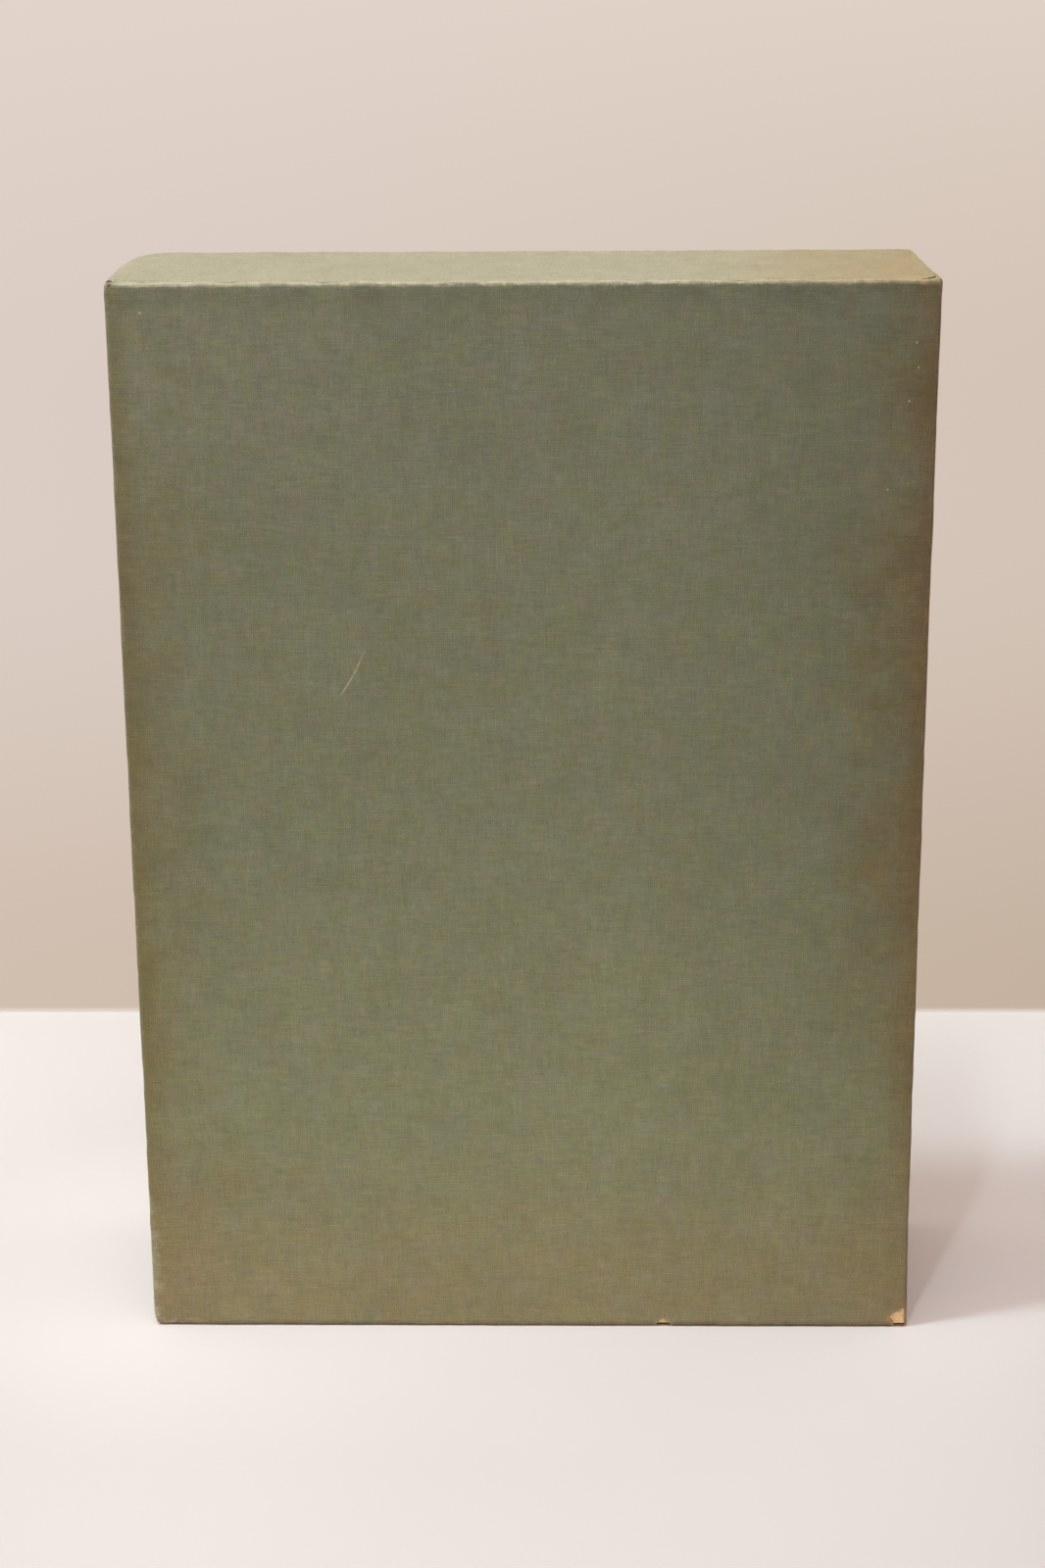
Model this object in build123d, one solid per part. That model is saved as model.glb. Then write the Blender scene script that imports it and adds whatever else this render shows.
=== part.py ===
"""A cloth-covered book slipcase, open at its left side, standing on its tail edge.

Five boards are glued edge to edge into a box that is open on one narrow side. Paper stays bind the
eight outer joints between boards, lining papers face the inside, and three pieces of book cloth cover
it: one wraps the front, the closed side and the back, and a strip each covers the top and the bottom.

Millimetres. +Z is up, the front panel faces -Y and the mouth faces -X. The origin is the middle of
the footprint, on the surface that the case stands on.
"""

from build123d import *
import os

# Overall size, outside the cloth
case_width = 210.0
case_depth = 69.0
case_height = 290.0

# Sheet materials
board_thickness = 2.5
cloth_thickness = 0.4
lining_thickness = 0.2
stay_thickness = 0.15

# How far each sheet laps over, and how far the next one laps past it
turn_in_outside = 12.0
turn_in_mouth = 16.0
stay_lap = 3.0
lining_setback = 1.0

# Folds, pressed tight over the board edges and a little worn
fold_radius = 1.0
mouth_fold_radius = 0.9

# Gaps between sheets that meet edge to edge
strip_margin = 0.7
sheet_gap = 0.15
mitre_gap = 0.3

# Radii of the folds, no larger than the wall at the mouth leaves room for
mouth_wall = cloth_thickness + board_thickness + lining_thickness + cloth_thickness
widest_fold = 0.48 * mouth_wall
outer_fold = min(fold_radius, widest_fold)
inner_fold = min(mouth_fold_radius, widest_fold)

# Radii of the board edges that the cloth folds round
widest_board_edge = 0.45 * board_thickness
sharpest_board_edge = 2 * stay_thickness
outer_board_edge = min(max(outer_fold - cloth_thickness, sharpest_board_edge), widest_board_edge)
inner_board_edge = min(max(inner_fold - cloth_thickness, sharpest_board_edge), widest_board_edge)

# The outer faces of the case, and of the wrap between the top and bottom strips
half_width = case_width / 2
half_depth = case_depth / 2
wrap_z0 = cloth_thickness
wrap_z1 = case_height - cloth_thickness

# The outer faces of the block that the five boards make
board_x0 = -half_width + cloth_thickness
board_x1 = half_width - cloth_thickness
board_y = half_depth - cloth_thickness
board_z0 = wrap_z0 + cloth_thickness
board_z1 = wrap_z1 - cloth_thickness

# The inner faces of the boards, and of the lining papers on them
inner_x = board_x1 - board_thickness
inner_y = board_y - board_thickness
inner_z0 = board_z0 + board_thickness
inner_z1 = board_z1 - board_thickness
lined_x0 = board_x0 + inner_board_edge + lining_setback
lined_x1 = inner_x - lining_thickness
lined_y = inner_y - lining_thickness
lined_z0 = inner_z0 + lining_thickness
lined_z1 = inner_z1 - lining_thickness

# The faces of the cloth turned in at the mouth, and how far in it reaches
mouth_y = lined_y - cloth_thickness
mouth_z1 = lined_z1 - cloth_thickness
turned_in_x = -half_width + turn_in_mouth

# Cutting blocks reach this far past what they cut
overshoot = 5.0


def slab(x0, x1, y0, y1, z0, z1):
    """A plain block between two corners."""
    centre = Pos((x0 + x1) / 2, (y0 + y1) / 2, (z0 + z1) / 2)
    return centre * Box(x1 - x0, y1 - y0, z1 - z0)


def rounded_slab(x0, x1, y0, y1, z0, z1, radius):
    """A block with all twelve edges rounded."""
    block = slab(x0, x1, y0, y1, z0, z1)
    return fillet(block.edges(), radius)


def round_upright_edge(shape, x, y, radius):
    """Round the edge that runs along Z at this x and y."""
    edges = shape.edges().filter_by(Axis.Z).sort_by_distance((x, y, case_height / 2))
    return fillet(edges[0], radius)


def round_level_edge(shape, x, z, radius):
    """Round the edge that runs along Y at this x and z."""
    edges = shape.edges().filter_by(Axis.Y).sort_by_distance((x, 0, z))
    return fillet(edges[0], radius)


def at_back(shape):
    """The same sheet on the back of the case."""
    return shape.mirror(Plane.XZ)


def at_bottom(shape):
    """The same sheet at the bottom of the case."""
    return shape.mirror(Plane.XY.offset(case_height / 2))


def cut_by(shape, others):
    """A sheet without the room that other sheets take up."""
    for other in others:
        shape = shape - other
    return shape


# The block of boards, with its outside edges rounded, and the skin of it that the stays lie in
core = rounded_slab(board_x0, board_x1, -board_y, board_y, board_z0, board_z1, outer_board_edge)
under_stays = rounded_slab(
    board_x0 + stay_thickness,
    board_x1 - stay_thickness,
    -board_y + stay_thickness,
    board_y - stay_thickness,
    board_z0 + stay_thickness,
    board_z1 - stay_thickness,
    outer_board_edge - stay_thickness,
)
stay_skin = core - under_stays

# Gummed paper stays, one folded round each of the eight outer joints and pressed into the boards
stay_leg = turn_in_outside - stay_lap
long_x0 = board_x0 + outer_board_edge
long_x1 = board_x1 - outer_board_edge
short_y = board_y - stay_leg - sheet_gap
upright_z0 = board_z0 + stay_leg + sheet_gap
upright_z1 = board_z1 - stay_leg - sheet_gap
leg_x = board_x1 - stay_leg
leg_y = board_y - stay_leg
leg_z = board_z1 - stay_leg

front_top_stay = stay_skin & slab(long_x0, long_x1, -board_y, -leg_y, leg_z, board_z1)
back_top_stay = at_back(front_top_stay)
front_bottom_stay = at_bottom(front_top_stay)
back_bottom_stay = at_bottom(back_top_stay)

closed_top_stay = stay_skin & slab(leg_x, board_x1, -short_y, short_y, leg_z, board_z1)
closed_bottom_stay = at_bottom(closed_top_stay)

front_closed_stay = stay_skin & slab(leg_x, board_x1, -board_y, -leg_y, upright_z0, upright_z1)
back_closed_stay = at_back(front_closed_stay)

top_stays = [front_top_stay, back_top_stay, closed_top_stay]
bottom_stays = [front_bottom_stay, back_bottom_stay, closed_bottom_stay]
upright_stays = [front_closed_stay, back_closed_stay]
stays = top_stays + bottom_stays + upright_stays

# The side boards run the full width and height, and cover the edges of the other three
front_board = slab(board_x0, board_x1, -board_y, -inner_y, board_z0, board_z1) & core
front_board = round_upright_edge(front_board, board_x0, -inner_y, inner_board_edge)
front_board = cut_by(front_board, stays)
back_board = at_back(front_board)

# The top and bottom boards lie between the side boards, and the closed side stands between them
top_board = slab(board_x0, board_x1, -inner_y, inner_y, inner_z1, board_z1) & core
top_board = round_level_edge(top_board, board_x0, inner_z1, inner_board_edge)
top_board = cut_by(top_board, top_stays)
bottom_board = at_bottom(top_board)
closed_side_board = slab(inner_x, board_x1, -inner_y, inner_y, inner_z0, inner_z1)
closed_side_board = cut_by(closed_side_board, stays)

# Lining papers, set back from the mouth so that the turned-in cloth covers their edges
front_lining = slab(lined_x0, inner_x, -inner_y, -lined_y, inner_z0, inner_z1)
back_lining = at_back(front_lining)
closed_side_lining = slab(lined_x1, inner_x, -lined_y, lined_y, inner_z0, inner_z1)
top_lining = slab(lined_x0, lined_x1, -lined_y, lined_y, lined_z1, inner_z1)
bottom_lining = at_bottom(top_lining)

# The wrap: a skin round the block that leaves the mouth open
wrap = rounded_slab(-half_width, half_width, -half_depth, half_depth, wrap_z0, wrap_z1, outer_fold)
wrap = wrap - core
wrap = wrap - slab(-half_width - overshoot, board_x0, -inner_y, inner_y, 0, case_height)

# Its top and bottom edges are turned over this far, and mitred at the closed side
turned_y = half_depth - turn_in_outside
turned_x = half_width - turn_in_outside
top_window = slab(-half_width - overshoot, turned_x, -turned_y, turned_y, inner_z1, case_height)
wrap = wrap - top_window - at_bottom(top_window)

root_two = 2**0.5
mitre_start = outer_fold * root_two
mitre_end = (turn_in_outside + overshoot) * root_two
mitre = slab(mitre_start, mitre_end, -mitre_gap / 2, mitre_gap / 2, board_z1, case_height)
front_mitre = Pos(half_width, -half_depth, 0) * Rot(0, 0, 135) * mitre
for cut in (front_mitre, at_back(front_mitre)):
    wrap = wrap - cut - at_bottom(cut)

# At the mouth it goes round the side boards and is pasted down inside, over the linings
mid_wall_y = half_depth - mouth_wall / 2
front_hook = slab(-half_width, turned_in_x, -mid_wall_y, -mouth_y, lined_z0, lined_z1)
front_hook = round_upright_edge(front_hook, -half_width, -mouth_y, inner_fold)
front_hook = cut_by(front_hook, [front_board, front_lining])
side_cloth = wrap + front_hook + at_back(front_hook)

# Card fills that level the top and bottom boards with the turned-over edges of the wrap
fill_x1 = turned_x - sheet_gap
fill_y = turned_y - sheet_gap
top_infill = slab(lined_x0, fill_x1, -fill_y, fill_y, board_z1, wrap_z1)
bottom_infill = at_bottom(top_infill)

# The top strip: over the turned edges, round the mouth edge of the top board, and in under it
strip_inset = outer_fold + strip_margin
strip_x0 = -half_width + strip_inset
strip_x1 = half_width - strip_inset
strip_y = half_depth - strip_inset
strip_fold_y = inner_y - sheet_gap
strip_hook_y = mouth_y - sheet_gap
mid_wall_z = case_height - cloth_thickness - mouth_wall / 2

strip_top = slab(strip_x0, strip_x1, -strip_y, strip_y, board_z1, case_height)
strip_fold = slab(-half_width, strip_x0, -strip_fold_y, strip_fold_y, mid_wall_z, case_height)
strip_fold = round_level_edge(strip_fold, -half_width, case_height, outer_fold)
strip_hook = slab(-half_width, turned_in_x, -strip_hook_y, strip_hook_y, mouth_z1, mid_wall_z)
strip_hook = round_level_edge(strip_hook, -half_width, mouth_z1, inner_fold)
top_cloth = strip_top + strip_fold + strip_hook
top_cloth = cut_by(top_cloth, [top_board, top_lining, top_infill, side_cloth] + top_stays)
bottom_cloth = at_bottom(top_cloth)

nodes = {
    "front_board": front_board,
    "back_board": back_board,
    "top_board": top_board,
    "bottom_board": bottom_board,
    "closed_side_board": closed_side_board,
    "front_top_stay": front_top_stay,
    "back_top_stay": back_top_stay,
    "front_bottom_stay": front_bottom_stay,
    "back_bottom_stay": back_bottom_stay,
    "closed_top_stay": closed_top_stay,
    "closed_bottom_stay": closed_bottom_stay,
    "front_closed_stay": front_closed_stay,
    "back_closed_stay": back_closed_stay,
    "front_lining": front_lining,
    "back_lining": back_lining,
    "closed_side_lining": closed_side_lining,
    "top_lining": top_lining,
    "bottom_lining": bottom_lining,
    "top_infill": top_infill,
    "bottom_infill": bottom_infill,
    "side_cloth": side_cloth,
    "top_cloth": top_cloth,
    "bottom_cloth": bottom_cloth,
}

os.makedirs("parts", exist_ok=True)
for name, shape in nodes.items():
    export_step(shape, f"parts/{name}.step")
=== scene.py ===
"""The looks of a worn, cloth-covered book slipcase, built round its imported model.

Lengths are in millimetres until a mesh is made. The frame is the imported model's: +Z is up, the front
panel faces -Y, the mouth faces -X, and the origin is in the middle of the footprint.
"""

import math

import bmesh
import bpy
import numpy as np
from mathutils import Matrix, Vector


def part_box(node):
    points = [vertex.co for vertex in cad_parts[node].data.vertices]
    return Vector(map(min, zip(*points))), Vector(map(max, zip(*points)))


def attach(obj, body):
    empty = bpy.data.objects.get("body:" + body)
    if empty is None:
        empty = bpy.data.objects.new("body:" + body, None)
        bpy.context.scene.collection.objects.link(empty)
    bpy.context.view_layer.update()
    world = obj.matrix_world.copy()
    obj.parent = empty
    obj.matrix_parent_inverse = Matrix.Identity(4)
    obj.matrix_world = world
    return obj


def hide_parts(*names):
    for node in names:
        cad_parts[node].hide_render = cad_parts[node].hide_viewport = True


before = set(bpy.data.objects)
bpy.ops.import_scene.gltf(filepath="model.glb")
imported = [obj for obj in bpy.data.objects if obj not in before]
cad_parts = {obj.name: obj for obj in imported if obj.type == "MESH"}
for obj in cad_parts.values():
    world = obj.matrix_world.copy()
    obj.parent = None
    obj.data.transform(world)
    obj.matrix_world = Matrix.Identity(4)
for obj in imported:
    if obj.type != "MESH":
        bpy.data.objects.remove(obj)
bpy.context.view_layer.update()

MM = 0.001
TINY = 1e-9
TOUCHING = 0.01


def node_box(node):
    """The lowest and the highest corner of a node, in millimetres."""
    low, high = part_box(node)
    return np.round(np.array(low) / MM, 3), np.round(np.array(high) / MM, 3)


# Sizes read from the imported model
wrap_low, wrap_high = node_box("side_cloth")
strip_low, strip_high = node_box("top_cloth")
half_width = wrap_high[0]
half_depth = wrap_high[1]
height = strip_high[2]
middle = height / 2
cloth_thickness = height - wrap_high[2]
inner_y = -node_box("front_board")[1][1]
mouth_y = -node_box("front_lining")[1][1] - cloth_thickness
lined_z0 = node_box("bottom_lining")[1][2]
lined_z1 = node_box("top_lining")[0][2]
strip_x1 = strip_high[0]
strip_y = strip_high[1]
strip_inset = half_depth - strip_y
strip_reach = strip_x1 + half_width
neck_x = strip_inset - half_width

# How the cloth is folded, the same as in the model
turn_in_outside = 12.0
turn_in_mouth = 16.0
fold_radius = 1.0
mouth_fold_radius = 0.9
sheet_gap = 0.15

# The width of a cell of the cloth where it is folded or torn, near there, and elsewhere
fold_cell = 0.25
edge_cell = 0.4
front_cell = 2.5
tall_cell = 3.5
back_cell = 4.0
hidden_cell = 2.0

# How the panels have bowed
side_bow = 0.33
side_bow_start = 40.0
foot_flare = 0.3
foot_flare_height = 40.0
top_narrowing = 0.15
front_hollow = 0.35
top_hollow = 0.3
bottom_hollow = 0.2
mouth_arch = 1.0
mouth_arch_skew = 0.3

# The two knocked corners: top at the back of the mouth, and bottom at the front of the mouth
crushed_drop = 1.5
crushed_reach = (9.0, 24.0, 20.0)
rounded_reach = (2.3, 8.0, 5.6)

# The cloth is thickest where it is folded over at the top of the closed side, near the front
corner_lump = (0.08, 0.45)
corner_lump_reach = (5.0, 12.0, 4.0)
corner_lump_y = 5.0

# The folds outside the strips stand out nearly as far as the strips do
fold_swell = 0.25
foot_swell = 0.38
fold_lumps = 0.07
top_fold_lumps = 0.16
long_lump = 9.0
short_lump = 3.5
lumps_reach = 5.0
faint_wave = 0.04
faint_wave_length = 30.0

# The mitres at the closed side have sunk a little
mitre_depth = 0.15
mitre_half_width = 0.45

# The torn corner and the nick in the front panel, as x and z on the panel
tear_reach = 7.0
tear_outline = [
    (104.6, 6.1), (103.6, 5.5), (102.4, 4.7), (101.2, 4.1), (100.3, 3.2),
    (100.5, 2.4), (101.2, 1.9), (101.3, 0.7), (104.6, 0.7),
]
nick_outline = [(35.2, 0.3), (36.0, 1.5), (37.4, 2.4), (38.6, 1.7), (39.8, 0.3)]
nick_left = 33.0
nick_right = 42.0
ragged_depth = 0.12
ragged_length = 0.9

# How far from a raw edge its wear reaches, and how much of the cloth's thickness is left at it
rim_reach = 2.0
left_at_tear = 0.35
left_at_strip_edge = 0.3

# The raw edges of the strips wander, draw back from the front near the closed side, and lift there
wander_size = 0.2
wander_length = 26.0
fine_wander_size = 0.07
fine_wander_length = 3.1
drawn_back = 1.0
drawn_back_start = 94.0
lift_start = 99.0
lift_height = 0.1


def smooth(t):
    """A smooth step from 0 to 1."""
    t = np.clip(t, 0, 1)
    return t * t * (3 - 2 * t)


def ripple(points, length, seed):
    """Gentle random unevenness, mostly between -1 and 1, with bumps about this long."""
    random = np.random.default_rng(seed)
    waves = 6
    total = np.zeros(len(points))
    for _ in range(waves):
        wave = random.normal(size=3)
        wave *= 2 * math.pi / (length * random.uniform(0.7, 1.6) * np.linalg.norm(wave))
        total += np.sin(points @ wave + random.uniform(0, 2 * math.pi))
    return total / math.sqrt(waves)


def settle(points):
    """Where the worn case has a point of the square one."""
    x, y, z = points.T
    across = 1 - np.clip(x / half_width, -1, 1) ** 2
    through = 1 - np.clip(y / half_depth, -1, 1) ** 2
    upright = 1 - np.clip(z / middle - 1, -1, 1) ** 2
    facing = np.sin(math.pi / 2 * np.clip(y / half_depth, -1, 1))
    raised = smooth(z / middle - 1)
    lowered = smooth(1 - z / middle)

    near_closed_side = smooth((x - side_bow_start) / (half_width - side_bow_start))
    moved_x = x - side_bow * upright * near_closed_side - top_narrowing * x / half_width * z / height
    moved_x += foot_flare * near_closed_side * smooth(1 - z / foot_flare_height)
    moved_y = y - front_hollow * facing * across * upright
    moved_z = z + across * through * (bottom_hollow * lowered - top_hollow * raised)

    near_mouth = np.clip(-x / half_width, 0, 1) ** 2
    leaning = 1 - mouth_arch_skew * y / half_depth
    moved_z += mouth_arch * through * leaning * near_mouth * raised

    reach_x, reach_y, reach_z = crushed_reach
    side = np.clip(1 - (x + half_width) / reach_x, 0, 1)
    crushed = smooth(1 - (half_depth - y) / reach_y) * smooth(1 - (height - z) / reach_z)
    moved_z -= crushed_drop * crushed * (1 - np.sqrt(1 - side**2))

    reach_x, reach_y, reach_z = corner_lump_reach
    lump = smooth(1 - (half_width - x) / reach_x) * smooth(1 - (height - z) / reach_z)
    lump *= smooth(1 - np.abs(y + half_depth - corner_lump_y) / reach_y)
    moved_x += corner_lump[0] * lump
    moved_z += corner_lump[1] * lump

    reach_x, reach_y, reach_z = rounded_reach
    side = np.clip(1 - (x + half_width) / reach_x, 0, 1)
    below = np.clip(1 - z / reach_z, 0, 1)
    pushed = (1 - 1 / np.maximum(np.hypot(side, below), 1)) * smooth(1 - (y + half_depth) / reach_y)
    moved_x += reach_x * side * pushed
    moved_z += reach_z * below * pushed
    return np.column_stack([moved_x, moved_y, moved_z])


def stations(start, *spans):
    """Grid lines from start on. Each span is where it ends and about how wide its cells are."""
    places = [start]
    for end, step in spans:
        count = max(1, round(abs(end - places[-1]) / step))
        places += list(np.linspace(places[-1], end, count + 1)[1:])
    return np.array(places)


def run(t, reach):
    """How far along a sheet a point is that lies t from the middle of a panel, round its folds."""
    flat = reach - fold_radius
    over = np.maximum(np.abs(t) - flat, 0)
    return np.sign(t) * (np.minimum(np.abs(t), flat) + fold_radius * np.arctan(over / fold_radius))


def inside(points, outline):
    """Which points lie in a closed outline, both given in two coordinates."""
    found = np.zeros(len(points), bool)
    px, py = points.T
    for (ax, ay), (bx, by) in zip(outline, outline[1:] + outline[:1]):
        crosses = (ay > py) != (by > py)
        found ^= crosses & (px < ax + (py - ay) / (by - ay + TINY) * (bx - ax))
    return found


def round_box(points, low, high, radius):
    """Points on a sharp box, moved onto the box with rounded edges, and their outward directions."""
    core = np.clip(points, low + radius, high - radius)
    out = points - core
    reach = np.linalg.norm(out, axis=1)[:, None]
    unit = out / np.maximum(reach, TINY)
    return np.where(reach > radius, core + unit * radius, points), unit * (reach > radius - 1e-3)


def round_edge(points, axes, corner, inward, radius):
    """Points by one fold that runs square to two axes, moved onto its round."""
    points = points.copy()
    centre = [c + i * radius for c, i in zip(corner, inward)]
    away = np.column_stack([(centre[k] - points[:, axes[k]]) * inward[k] for k in (0, 1)])
    reach = np.hypot(*away.T)
    beyond = (away > 0).all(1) & (away < radius + 0.01).all(1) & (reach > radius)
    for k in (0, 1):
        moved = centre[k] - inward[k] * away[:, k] * radius / np.maximum(reach, TINY)
        points[:, axes[k]] = np.where(beyond, moved, points[:, axes[k]])
    return points


class Skin:
    """The outer skin of a folded sheet, gathered panel by panel on a box with sharp edges."""

    def __init__(self):
        self.quads = []
        self.threads = []

    def panel(self, axis, level, first, second, outward, thread, keep=None):
        """A grid of cells square to an axis. thread gives a point's place on the flat cloth."""
        grid = np.stack(np.meshgrid(first, second, indexing="ij"), -1)
        grid = np.insert(grid, axis, level, -1)
        cells = np.stack([grid[:-1, :-1], grid[1:, :-1], grid[1:, 1:], grid[:-1, 1:]], -2)
        cells = cells.reshape(-1, 4, 3)
        if keep is not None:
            cells = cells[keep(cells.mean(1))]
        turns_outward = -1 if axis == 1 else 1
        if outward != turns_outward:
            cells = cells[:, ::-1]
        self.quads.append(cells)
        self.threads.append(np.stack(thread(*np.moveaxis(cells, -1, 0)), -1))

    def gather(self):
        """Shared points, the four points of each cell, and each cell corner's place on the cloth."""
        corners = np.round(np.concatenate(self.quads).reshape(-1, 3), 4)
        points, index = np.unique(corners, axis=0, return_inverse=True)
        return points, index.reshape(-1, 4), np.concatenate(self.threads).reshape(-1, 2)


def rim_of(quads):
    """Pairs of points along the open edges of a skin."""
    sides = np.sort(np.stack([quads, np.roll(quads, -1, 1)], -1).reshape(-1, 2), 1)
    pairs, count = np.unique(sides, axis=0, return_counts=True)
    return pairs[count == 1]


def ease_rim(points, pairs, chosen):
    """Take the steps of the grid out of the chosen open edges."""
    points = points.copy()
    pairs = pairs[chosen[pairs].any(1)]
    for _ in range(3):
        total = np.zeros_like(points)
        count = np.zeros(len(points))
        for a, b in (pairs.T, pairs[:, ::-1].T):
            np.add.at(total, a, points[b])
            np.add.at(count, a, 1)
        eased = chosen & (count == 2)
        points[eased] = points[eased] / 2 + total[eased] / 4
    return points


def rim_wear(points, pairs):
    """1 on these open edges of a skin, falling to 0 as far from them as their wear reaches."""
    found = np.full(len(points), rim_reach)
    for a, b in points[pairs]:
        step = b - a
        share = np.clip((points - a) @ step / (step @ step + TINY), 0, 1)
        found = np.minimum(found, np.linalg.norm(points - a - share[:, None] * step, axis=1))
    return 1 - found / rim_reach


def add(name, data):
    """A new object in the scene."""
    made = bpy.data.objects.new(name, data)
    bpy.context.scene.collection.objects.link(made)
    return made


def make_piece(name, mesh, materials):
    """An object that rides on the case's one body."""
    piece = add(name, mesh)
    for material in materials:
        mesh.materials.append(material)
    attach(piece, "root")
    return piece


def cloth_piece(node, points, quads, threads, wear, body, materials):
    """A sheet of cloth from its outer skin. body is the share of its thickness left at each point."""
    mesh = bpy.data.meshes.new(node)
    mesh.from_pydata((points * MM).tolist(), [], quads.tolist())
    weave = np.column_stack([threads, np.zeros(len(threads))])
    mesh.attributes.new("weave", "FLOAT_VECTOR", "CORNER").data.foreach_set("vector", weave.ravel())
    mesh.attributes.new("wear", "FLOAT_VECTOR", "POINT").data.foreach_set("vector", wear.ravel())
    piece = make_piece(f"{node}_worn", mesh, materials)
    left = piece.vertex_groups.new(name="body")
    for share in np.unique(body):
        left.add(np.flatnonzero(body == share).tolist(), float(share), "REPLACE")
    thick = piece.modifiers.new("thickness", "SOLIDIFY")
    thick.thickness = cloth_thickness * MM
    thick.material_offset_rim = 1
    thick.vertex_group = "body"
    graph = bpy.context.evaluated_depsgraph_get()
    piece.data = bpy.data.meshes.new_from_object(piece.evaluated_get(graph), depsgraph=graph)
    piece.modifiers.clear()
    piece.vertex_groups.clear()
    piece.data.shade_smooth()
    piece.data.set_sharp_from_angle(angle=math.radians(40))
    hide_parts(node)
    return piece


def wear_of(points, low, high, rim):
    """How far each point is from the nearest fold and the nearest corner, and how near a raw edge."""
    gaps = np.sort(np.minimum(points - low, high - points), axis=1)
    return np.column_stack([gaps[:, 1], np.hypot(gaps[:, 1], gaps[:, 2]), rim])


# How far along the cloth the folds are from the middle of each panel
edge_x = run(half_width, half_width)
edge_y = run(half_depth, half_depth)
edge_z = run(middle - cloth_thickness, middle - cloth_thickness)
lip = edge_y - run(mouth_y, half_depth)

# How far the wrap's grid lines are from a fold
from_fold = stations(
    0, (fold_radius, fold_cell), (strip_inset, edge_cell), (half_depth - inner_y, edge_cell),
    (half_depth - mouth_y, edge_cell), (tear_reach, edge_cell), (turn_in_outside, hidden_cell),
)

# The grid lines of the wrap along each axis, and at the mouth
closed_x = half_width - from_fold[::-1]
mouth_x = stations(-half_width, (fold_radius - half_width, fold_cell), (tear_reach - half_width, 1.2))
across_front = stations(
    mouth_x[-1], (nick_left, front_cell), (nick_right, edge_cell), (closed_x[0], front_cell)
)
across_back = stations(mouth_x[-1], (closed_x[0], back_cell))
front_x = np.concatenate([mouth_x, across_front[1:-1], closed_x])
back_x = np.concatenate([mouth_x, across_back[1:-1], closed_x])
near_y = from_fold - half_depth
wrap_y = np.concatenate([near_y, stations(near_y[-1], (-near_y[-1], back_cell))[1:-1], -near_y[::-1]])
wrap_z = stations(
    wrap_low[2], (wrap_low[2] + fold_radius, fold_cell), (lined_z0, edge_cell),
    (tear_reach, edge_cell), (lined_z1 - tear_reach, tall_cell), (lined_z1, 1.4),
    (wrap_high[2] - fold_radius, 0.6), (wrap_high[2], fold_cell),
)
lined_z = wrap_z[(wrap_z > lined_z0 - TOUCHING) & (wrap_z < lined_z1 + TOUCHING)]
lip_y = from_fold[from_fold < half_depth - mouth_y + TOUCHING] - half_depth
hook_x = stations(
    -half_width, (mouth_fold_radius - half_width, fold_cell), (turn_in_mouth - half_width, hidden_cell)
)


def up_wrap(z):
    """How far up the wrap a point of an upright panel is."""
    return run(z - middle, middle - cloth_thickness)


def round_wrap(x, side):
    """How far round the wrap a point of the front or the back is."""
    near = run(x, half_width)
    return near if side < 0 else 2 * edge_x + 2 * edge_y - near


def past_mouth_fold(y, side, further=0):
    """How far round the wrap a point past the fold at the mouth is."""
    past = edge_x + edge_y - run(np.abs(y), half_depth) + further
    return -past if side < 0 else 2 * edge_x + 2 * edge_y + past


def front_whole(p):
    """What is left of the front round the tear and the nick."""
    return ~inside(p[:, [0, 2]], tear_outline) & ~inside(p[:, [0, 2]], nick_outline)


def lip_whole(p):
    """What is left of a lip beside the top and bottom boards."""
    return (np.abs(p[:, 1]) > inner_y) | ((p[:, 2] > lined_z0) & (p[:, 2] < lined_z1))


def past_mitre(p):
    """What is turned over from the closed side."""
    return half_width - p[:, 0] < half_depth - np.abs(p[:, 1]) - TOUCHING


def before_mitre(p):
    """What is turned over from the front and the back, cut away between the lips."""
    past_mouth = (np.abs(p[:, 1]) > inner_y) | (p[:, 0] > fold_radius - half_width)
    return past_mouth & ~past_mitre(p)


def add_side(skin, side, xs, whole):
    """The front or the back, its lip round the mouth fold, and what is pasted down inside."""
    skin.panel(
        1, side * half_depth, xs, wrap_z, side,
        lambda x, y, z: (round_wrap(x, side), up_wrap(z)),
        whole,
    )
    skin.panel(
        0, -half_width, np.sort(side * -lip_y), wrap_z, -1,
        lambda x, y, z: (past_mouth_fold(y, side), up_wrap(z)),
        lip_whole,
    )
    skin.panel(
        1, side * mouth_y, hook_x, lined_z, -side,
        lambda x, y, z: (past_mouth_fold(y, side, x + half_width), up_wrap(z)),
    )


def wrap_skin():
    """The wrap with sharp folds: front, back and closed side, each with its edges turned over."""
    skin = Skin()
    ends = ((wrap_high[2], 1), (wrap_low[2], -1))
    for side, xs, whole in ((-1, front_x, front_whole), (1, back_x, None)):
        add_side(skin, side, xs, whole)
        for level, outward in ends:
            skin.panel(
                2, level, xs, np.sort(side * -near_y), outward,
                lambda x, y, z: (
                    round_wrap(x, side),
                    outward * (edge_z + edge_y - run(np.abs(y), half_depth)),
                ),
                before_mitre,
            )
    skin.panel(
        0, half_width, wrap_y, wrap_z, 1,
        lambda x, y, z: (edge_x + edge_y + run(y, half_depth), up_wrap(z)),
    )
    for level, outward in ends:
        skin.panel(
            2, level, closed_x, wrap_y, outward,
            lambda x, y, z: (
                edge_x + edge_y + run(y, half_depth),
                outward * (edge_z + edge_x - run(x, half_width)),
            ),
            past_mitre,
        )
    return skin.gather()


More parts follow.
